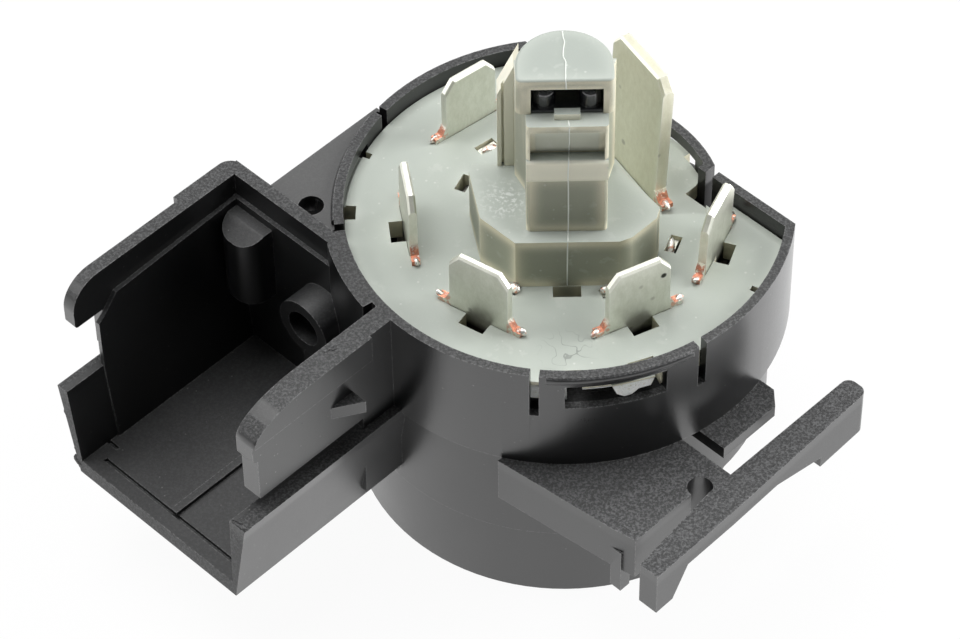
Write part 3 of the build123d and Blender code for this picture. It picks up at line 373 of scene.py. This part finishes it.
def grey_moulding():
    """Slightly translucent, with painted light: a paler, warmer painted glow near its edges than in the
    middles of its walls, painted shade on its walls and painted highlights on the fin, tee, scoop and
    ledge.
    """
    f = Finish("grey_moulding")
    grain = f.noise(0.2 * MM, 3.0, 0.6)
    cloud = f.noise(5.0 * MM, 4.0, 0.6)
    fine = f.noise(1.1 * MM, 4.0, 0.6, shift=7.0)
    crumbly = f.noise(0.35 * MM, 4.0, 0.7, shift=11.0)
    wander = f.noise(1.6 * MM, 1.0, 0.5, shift=17.0)
    wall = 1 - abs(f.facing_z).above(0.5, 0.3)
    # painted glow: paler, warmer colour near the edges, standing in for light passing through the
    # translucent plastic
    glow = f.near_edges(2.2 * MM, 0.14)
    fin = f.x.below(fin_corner[0] * MM, 0.1 * MM) * f.y.above(fin_corner[1] * MM, 0.1 * MM)
    fin = fin * f.z.above(boss_top * MM, 0.5 * MM)
    tee = f.spot(tee_place, 1.5, 0.3)
    scoop = f.y.within(scoop_depths[0] * MM, scoop_depths[1] * MM, 0.05 * MM)
    scoop = scoop * f.z.within(scoop_heights[0] * MM, scoop_heights[1] * MM, 0.2 * MM)
    scoop = scoop * abs(f.x).below(scoop_half_width * MM, 0.2 * MM)
    ledge = f.y.below(ledge_front * MM, 0.05 * MM)
    ledge = ledge * f.z.within(ledge_heights[0] * MM, ledge_heights[1] * MM, 0.9 * MM)
    crown = f.z.above(head_base * MM, 0.6 * MM) * (1 - wall)
    torn = f.y.below(torn_front * MM, 0.1 * MM) * f.z.below(torn_top * MM, 0.1 * MM)
    scuff = fine.above(0.60, 0.06) * cloud.above(0.54, 0.08)
    rubbed = f.spot(rubbed_place, 1.9, 2.4) * crumbly.above(0.54, 0.06) * fine.above(0.42, 0.1)
    scraped = f.spot(scraped_place, 2.0, 2.0) * f.hairs(wander, 0.010)
    specks = f.specks(0.4 * MM, 0.02, 2.0)
    # painted highlights on the fin's and the tee's walls and on the ledge
    painted_highlights = (fin * wall * 0.8).most(tee * wall).most(ledge * 0.8)
    colour = f.blend(cloud, (0.375, 0.410, 0.370), (0.425, 0.460, 0.415))
    # painted shade: walls painted darker and warmer than the faces that look up
    colour = f.blend(wall, colour, (0.300, 0.315, 0.245))
    # painted glow near the walls' edges, weaker on the scoop
    colour = f.blend(glow * wall * (0.85 - 0.7 * scoop), colour, (0.86, 0.81, 0.62))
    # painted highlight on the scoop, which tilts up into the light
    colour = f.blend(scoop * 0.55, colour, (0.62, 0.64, 0.54))
    colour = f.blend(crown * 0.35, colour, (0.24, 0.27, 0.25))
    # painted glow near the edges of the faces that look up
    colour = f.blend(glow * (1 - wall) * 0.30, colour, (0.60, 0.64, 0.58))
    colour = f.blend(painted_highlights, colour, (0.92, 0.90, 0.74))
    colour = f.blend(scuff * 0.18, colour, (0.62, 0.64, 0.60))
    colour = f.blend(rubbed * 0.6, colour, (0.78, 0.80, 0.78))
    colour = f.blend(scraped * 0.5, colour, (0.12, 0.13, 0.12))
    colour = f.blend(specks * 0.4, colour, (0.66, 0.67, 0.64))
    colour = f.blend(torn * crumbly.above(0.36, 0.15), colour, (0.80, 0.82, 0.80))
    rough = 0.40 + 0.14 * cloud + 0.12 * scuff + 0.25 * torn
    bump = f.relief(grain, 0.012 * MM, 0.5)
    bump = f.relief(fine, 0.03 * MM, 0.3, bump)
    bump = f.relief(crumbly * torn, 0.35 * MM, 0.9, bump)
    return f.finish(colour, rough.held(), bump)


def parting_pale():
    """Pale witness of the mould's parting."""
    f = Finish("parting_pale")
    cloud = f.noise(0.6 * MM, 2.0, 0.5)
    colour = f.blend(cloud, (0.66, 0.69, 0.64), (0.80, 0.83, 0.79))
    return f.finish(colour, 0.4 + 0.2 * cloud, f.relief(cloud, 0.02 * MM, 0.4))


def insert_black():
    """Glossy black of the insert's prongs."""
    f = Finish("insert_black")
    cloud = f.noise(0.8 * MM, 3.0, 0.6)
    colour = f.blend(cloud, (0.014, 0.015, 0.017), (0.030, 0.033, 0.036))
    return f.finish(colour, 0.12 + 0.16 * cloud, f.relief(cloud, 0.06 * MM, 0.6), ior=1.7)


def plated_blade(name):
    """Dull silver plating, with bare copper where the ears were sheared, painted highlights along its edges
    and painted shade below the plate's top.
    """
    angle, radius, width, thickness, twist = blade_sizes[name]
    f = Finish("plated_" + name)
    place = Vector((cos(radians(angle)), sin(radians(angle)))) * radius * MM
    out = Vector((cos(radians(angle + twist)), sin(radians(angle + twist))))
    middle_x = f.x - place.x
    middle_y = f.y - place.y
    across = abs(middle_y * out.x - middle_x * out.y)
    away = abs(middle_x * out.x + middle_y * out.y)
    flat = abs(f.facing_x * out.x + f.facing_y * out.y)
    cloud = f.noise(1.6 * MM, 4.0, 0.62)
    rolled = f.noise(0.30 * MM, 3.0, 0.6, stretch=(1, 1, 9))
    fine = f.noise(0.45 * MM, 3.0, 0.6, shift=4.0)
    mottle = f.noise(0.55 * MM, 5.0, 0.75, stretch=(1, 1, 2), shift=9.0)
    pits = f.specks(1.1 * MM, 0.05, 5.0)
    low = (f.z + fine * 1.4 * MM).below((plate_top + 2.0) * MM, 0.3 * MM)
    low = low * away.below(1.6 * MM, 0.1 * MM)
    deep = f.z.below((plate_top - 1.0) * MM, 0.8 * MM)
    sheared = flat.below(0.6, 0.2) * low * fine.above(0.40, 0.12)
    ear = across.above((width / 2 - 0.1) * MM, 0.2 * MM) * fine.above(0.52, 0.1)
    bare = sheared.most(ear * low * 0.7)
    # painted highlight: a paler band near the edges
    painted_edge_light = f.near_edges(1.2 * MM, 0.25)
    dull, light = (0.70, 0.71, 0.60), (0.88, 0.89, 0.80)
    if name == "blade_wide":
        dull, light = (0.70, 0.68, 0.52), (0.84, 0.83, 0.68)
    colour = f.blend(cloud * 0.5 + mottle.above(0.5, 0.3) * 0.5, dull, light)
    colour = f.blend(painted_edge_light * 0.25, colour, (0.95, 0.96, 0.90))
    # painted highlight along the sharp edges
    colour = f.blend(f.edges(0.15 * MM) * 0.6, colour, (0.92, 0.91, 0.86))
    colour = f.blend(pits * 0.45, colour, (0.22, 0.20, 0.16))
    # painted shade: a near-black spot where the front right blade has a hole
    if name == "blade_front_right":
        colour = f.blend(f.spot(hole_shade_place, 0.28, 0.15), colour, (0.05, 0.05, 0.04))
    reddish = f.blend(fine.above(0.5, 0.25), (0.42, 0.11, 0.07), (0.74, 0.30, 0.17))
    colour = f.blend(bare * 0.9, colour, reddish)
    # painted shade: the blade's parts below the plate's top are painted dark
    colour = f.blend(deep, colour, (0.06, 0.055, 0.045))
    rough = 0.36 + 0.16 * cloud + 0.10 * rolled
    bump = f.relief(rolled, 0.012 * MM, 0.5)
    bump = f.relief(cloud, 0.04 * MM, 0.35, bump)
    bump = f.relief(mottle, 0.03 * MM, 0.5, bump)
    bump = f.relief(fine * bare, 0.10 * MM, 0.6, bump)
    return f.finish(colour, rough.held(), bump, metallic=1.0)


def burr_silver():
    """Torn plating with copper showing through."""
    f = Finish("burr_silver")
    fine = f.noise(0.35 * MM, 3.0, 0.6)
    colour = f.blend(fine.above(0.56, 0.08) * 0.8, (0.90, 0.89, 0.85), (0.66, 0.26, 0.15))
    return f.finish(colour, 0.34 + 0.2 * fine, f.relief(fine, 0.08 * MM, 0.6), metallic=1.0)


def plain_metal(name, light, dark, rough, grain):
    """Metal of a hidden piece, clouded between two colours."""
    f = Finish(name)
    cloud = f.noise(grain * MM, 3.0, 0.6)
    colour = f.blend(cloud, dark, light)
    return f.finish(colour, rough + 0.12 * cloud, f.relief(cloud, 0.01 * MM, 0.4), metallic=1.0)


def natural_moulding():
    """Uncoloured plastic of the rotor."""
    f = Finish("natural_moulding")
    cloud = f.noise(3.0 * MM, 3.0, 0.6)
    colour = f.blend(cloud, (0.66, 0.65, 0.57), (0.78, 0.77, 0.70))
    return f.finish(colour, 0.42 + 0.1 * cloud, f.relief(f.noise(0.3 * MM), 0.01 * MM, 0.4))


black = moulded_black()
wear("housing", black)
wear("terminal_plate", grey_moulding())
wear("post_insert", insert_black())
wear("rotor", natural_moulding())
for name in blade_sizes:
    wear(name, plated_blade(name))
copper = plain_metal("bridge_copper", (0.78, 0.42, 0.26), (0.62, 0.30, 0.18), rough=0.3, grain=1.0)
wire = plain_metal("spring_wire", (0.50, 0.50, 0.51), (0.36, 0.36, 0.37), rough=0.32, grain=0.5)
ground = plain_metal("ground_steel", (0.66, 0.66, 0.65), (0.54, 0.54, 0.54), rough=0.22, grain=0.8)
for name in nodes:
    if name.startswith("contact_bridge"):
        wear(name, copper)
    elif "spring" in name:
        wear(name, wire)
    elif name.startswith("detent_plunger") or name == "thrust_washer":
        wear(name, ground)

soften("housing", 0.16)
soften("terminal_plate", 0.12)
soften("post_insert", 0.06)
for name in blade_sizes:
    soften(name, 0.07)


# Small forms that the CAD part leaves out


def placed(name, shape, material):
    """Turns a finished shape into an object of the scene."""
    mesh = bpy.data.meshes.new(name)
    shape.to_mesh(mesh)
    shape.free()
    mesh.materials.append(material)
    made = bpy.data.objects.new(name, mesh)
    bpy.context.scene.collection.objects.link(made)
    return made


def small_form(name, shape, material):
    """Closed and smooth small form, fixed to the housing's body."""
    bmesh.ops.remove_doubles(shape, verts=shape.verts, dist=doubles_distance * MM)
    bmesh.ops.recalc_face_normals(shape, faces=shape.faces)
    for face in shape.faces:
        face.smooth = True
    made = placed(name, shape, material)
    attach(made, "housing")


def bead(shape, points):
    """Thin bead along a path, given in millimetres."""
    path = [Vector(point) * MM for point in points]
    rings = []
    for number, point in enumerate(path):
        before = path[max(number - 1, 0)]
        after = path[min(number + 1, len(path) - 1)]
        turn = (after - before).to_track_quat("Z", "X").to_matrix().to_4x4()
        ends = number in (0, len(path) - 1)
        ring = bmesh.ops.create_circle(shape, cap_ends=ends, segments=bead_sides, radius=bead_radius * MM,
                                       matrix=Matrix.Translation(point) @ turn)["verts"]
        rings.append({edge for vert in ring for edge in vert.link_edges})
    for first, second in zip(rings, rings[1:]):
        bmesh.ops.bridge_loops(shape, edges=list(first | second))


def lump(shape, centre, along, size, seed):
    """Torn crumb, longest along a level direction. Place and size in millimetres."""
    chance = random.Random(seed)
    middle = Vector(centre) * MM
    made = bmesh.ops.create_icosphere(shape, subdivisions=2, radius=0.5,
                                      matrix=Matrix.Translation(middle))["verts"]
    up = Vector((chance.uniform(*lump_lean), chance.uniform(*lump_lean), 1)).normalized()
    long_way = Vector((along[0], along[1], chance.uniform(*lump_rise))).normalized()
    side_way = long_way.cross(up).normalized()
    bumps = [(Vector([chance.uniform(-1, 1) for _ in range(3)]).normalized(), chance.uniform(*bump_heights))
             for _ in range(bumps_on_lump)]
    for vert in made:
        out = (vert.co - middle).normalized()
        swell = 1 + sum(height * max(out.dot(way), 0) ** bump_sharpness for way, height in bumps)
        reach = long_way * (out.x * size[0]) + side_way * (out.y * size[1]) + up * (out.z * size[2])
        vert.co = middle + reach * swell * 0.5 * MM


def ear_burrs():
    """Turned-up tips at the ears of the blades, and the crushed ends of their legs."""
    shape = bmesh.new()
    for number, (angle, radius, width, thickness, twist) in enumerate(blade_sizes.values()):
        turn = radians(angle + twist)
        out = Vector((cos(turn), sin(turn)))
        along = Vector((-sin(turn), cos(turn)))
        middle = Vector((cos(radians(angle)), sin(radians(angle)))) * radius - out * thickness / 2
        for side in (-1, 1):
            end = middle + along * side * (width / 2 + ear_length - ear_overlap)
            seed = seeds_per_blade * number + side
            lump(shape, (end.x, end.y, plate_top + ear_rise), along * side, ear_tip, seed)
    for number, (angle, radius, rise, size) in enumerate(leg_ends):
        way = Vector((cos(radians(angle)), sin(radians(angle))))
        place = (way.x * radius, way.y * radius, plate_top + rise)
        lump(shape, place, (-way.y, way.x), size, leg_seed + number)
    small_form("ear_burrs", shape, burr_silver())


def parting_ridge():
    """Witness of the mould's parting down the middle of the post."""
    shape = bmesh.new()
    crown = ((-0.30, 0.45, post_top), (-0.24, -0.3, post_top), (-0.12, -0.9, post_top),
             (-0.27, -1.9, post_top), (-0.30, -2.7, post_top), (-0.08, -3.4, post_top),
             (-0.12, -4.3, post_top), (-0.16, -5.4, post_top), (-0.14, -5.66, 53.66),
             (-0.12, -5.7, 53.4), (-0.1, -5.7, 52.75))
    front = ((0.08, -6.5, 49.65), (0.12, -7.0, 49.65), (0.14, -7.26, 49.60), (0.15, -7.3, 49.3),
             (0.15, -7.27, 48.85), (0.16, -6.98, 48.0), (0.17, -6.6, 47.15), (0.17, -6.4, 46.3),
             (0.16, -6.35, 45.5), (0.14, -6.8, 45.4), (0.12, -7.3, 45.4), (0.10, -7.52, 45.25),
             (0.08, -7.55, 44.9), (0.06, -7.55, 43.2), (0.08, -7.5, 42.85), (0.09, -7.32, 42.6),
             (0.10, -7.3, 42.0), (0.13, -7.3, 39.0), (0.12, -7.3, 36.3), (0.10, -7.45, boss_top),
             (0.06, -8.5, boss_top), (0.05, -8.68, 36.02), (0.04, -8.7, 35.7), (0.02, -8.7, 33.0),
             (0.03, -8.7, 30.3))
    for path in (crown, front):
        bead(shape, path)
    small_form("parting_ridge", shape, parting_pale())


def torn_crumbs():
    """Torn scraps on the ends of the cradle's rails and on the near arm's inner edge."""
    shape = bmesh.new()
    for number, (u, v, z, size) in enumerate(crumbs):
        place = ((v - u) * diagonal, -(u + v) * diagonal, z)
        lump(shape, place, crumb_way, size, crumb_seed + number)
    small_form("torn_crumbs", shape, black)


ear_burrs()
parting_ridge()
torn_crumbs()


# Floor, light and camera. Places and sizes are in metres, powers in watts.
paper_white = (0.92, 0.92, 0.92, 1.0)
floor_size = 3.0
floor_in_gloss = 1.6  # how bright the floor stands in glossy faces
floor_glow_share = 0.95
light_target = (0.0, 0.0, 0.02)
studio_lights = {  # place, size and power
    "overhead": ((-0.10, 0.12, 0.58), (0.50, 0.40), 3.6),
    "left_side": ((-0.60, 0.05, 0.30), (0.35, 0.45), 1.5),
    "right_side": ((0.60, 0.10, 0.30), (0.35, 0.45), 5.2),
}
camera_place = (-0.00799, -0.25192, 0.30318)
camera_elevation = 48.76
camera_roll = -0.95
lens_length = 150.0
sensor_width = 36.0


def floor_finish():
    """White paper that keeps the part's shadow, and glows for the camera and in glossy faces."""
    f = Finish("floor_white")
    path = f.node("ShaderNodeLightPath", {}, {})
    glossy = Level(f, path.outputs["Is Glossy Ray"])
    seen = Level(f, path.outputs["Is Camera Ray"]).most(glossy)
    seen = seen.most(Level(f, path.outputs["Is Transmission Ray"]))
    paper = f.node("ShaderNodeBsdfDiffuse", {}, {"Color": paper_white})
    glow = f.node("ShaderNodeEmission", {}, {"Color": white, "Strength": 1.0})
    bright = f.node("ShaderNodeEmission", {}, {"Color": white, "Strength": floor_in_gloss})
    light = f.node("ShaderNodeMixShader", {}, {0: glossy, 1: glow.outputs[0], 2: bright.outputs[0]})
    both = f.node("ShaderNodeMixShader", {}, {0: seen * floor_glow_share, 1: paper.outputs[0],
                                              2: light.outputs[0]})
    f.node("ShaderNodeOutputMaterial", {}, {"Surface": both.outputs[0]})
    return f.material


def floor():
    """Plain sheet that the part stands on."""
    sheet = bmesh.new()
    bmesh.ops.create_grid(sheet, x_segments=1, y_segments=1, size=floor_size)
    made = placed("floor", sheet, floor_finish())


def studio_light(name, place, size, power):
    """Soft rectangular lamp, turned to the part."""
    lamp = bpy.data.lights.new(name, "AREA")
    lamp.shape = "RECTANGLE"
    lamp.size, lamp.size_y = size
    lamp.energy = power
    made = bpy.data.objects.new(name, lamp)
    bpy.context.scene.collection.objects.link(made)
    made.location = place
    made.rotation_euler = (Vector(light_target) - Vector(place)).to_track_quat("-Z", "Y").to_euler()


def surroundings(dim, mirrored):
    """White behind the part, dimmer as a light: one strength for mirroring faces and one for the rest."""
    world = bpy.data.worlds.new("studio")
    bpy.context.scene.world = world
    world.use_nodes = True
    w = Surface(world.node_tree)
    path = w.node("ShaderNodeLightPath", {}, {})
    seen = Level(w, path.outputs["Is Camera Ray"]).most(Level(w, path.outputs["Is Transmission Ray"]))
    glossy = Level(w, path.outputs["Is Glossy Ray"])
    soft = w.node("ShaderNodeBackground", {}, {"Color": white, "Strength": dim})
    above = w.node("ShaderNodeBackground", {}, {"Color": white, "Strength": mirrored})
    plain = w.node("ShaderNodeBackground", {}, {"Color": white, "Strength": 1.0})
    both = w.node("ShaderNodeMixShader", {}, {0: glossy, 1: soft.outputs[0], 2: above.outputs[0]})
    full = w.node("ShaderNodeMixShader", {}, {0: seen, 1: both.outputs[0], 2: plain.outputs[0]})
    w.node("ShaderNodeOutputWorld", {}, {"Surface": full.outputs[0]})


def camera():
    """Stands where the photograph was taken from, and looks along +Y and down."""
    elevation, roll = radians(camera_elevation), radians(camera_roll)
    right = Vector((1, 0, 0))
    up = Vector((0, sin(elevation), cos(elevation)))
    back = Vector((0, -cos(elevation), sin(elevation)))
    turned_right = cos(roll) * right + sin(roll) * up
    turned_up = cos(roll) * up - sin(roll) * right
    lens = bpy.data.cameras.new("camera")
    lens.lens = lens_length
    lens.sensor_width = sensor_width
    lens.clip_start = 0.01
    made = bpy.data.objects.new("camera", lens)
    bpy.context.scene.collection.objects.link(made)
    turn = Matrix((turned_right, turned_up, back)).transposed().to_4x4()
    made.matrix_world = Matrix.Translation(camera_place) @ turn
    bpy.context.scene.camera = made


floor()
surroundings(dim=0.06, mirrored=0.20)
for name, (place, size, power) in studio_lights.items():
    studio_light(name, place, size, power)
camera()
bpy.context.scene.view_settings.view_transform = "Standard"
